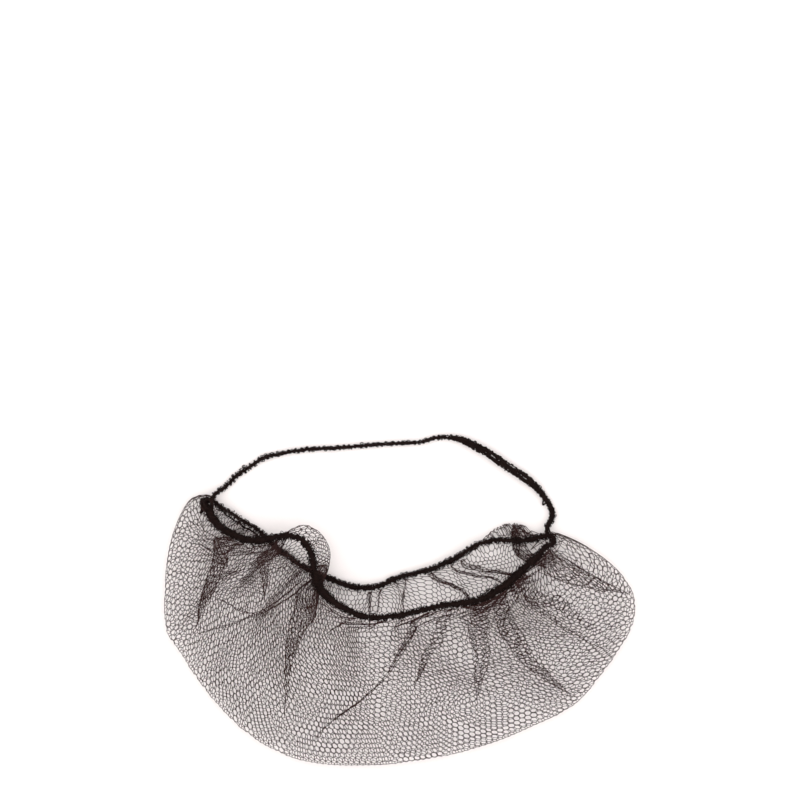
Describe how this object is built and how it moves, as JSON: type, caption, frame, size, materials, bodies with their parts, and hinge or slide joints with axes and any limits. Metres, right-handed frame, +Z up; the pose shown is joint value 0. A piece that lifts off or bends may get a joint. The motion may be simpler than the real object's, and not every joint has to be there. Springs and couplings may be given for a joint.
{
  "type": "beard cover",
  "caption": "Beard cover of dark honeycomb net: a hollow bag with a gathered elastic mouth edge and one headband, lying flat with its mouth up.",
  "frame": {"origin": "on the surface it lies on, below the middle of the bounding box in plan", "axes": "+X along the longest side of the bag, +Y from the chin fold towards the headband, +Z up from the surface"},
  "size_m": [0.2596, 0.182, 0.0205],
  "materials": {
    "dark_net": "matt knitted nylon net, dark brown",
    "dark_elastic_edge": "matt textile-covered elastic, nearly black brown",
    "dark_elastic_band": "matt textile-covered elastic cord, nearly black brown"
  },
  "bodies": {
    "root": {"net_pouch": "dark_net", "mouth_edge": "dark_elastic_edge", "headband": "dark_elastic_band"}
  },
  "joints": []
}
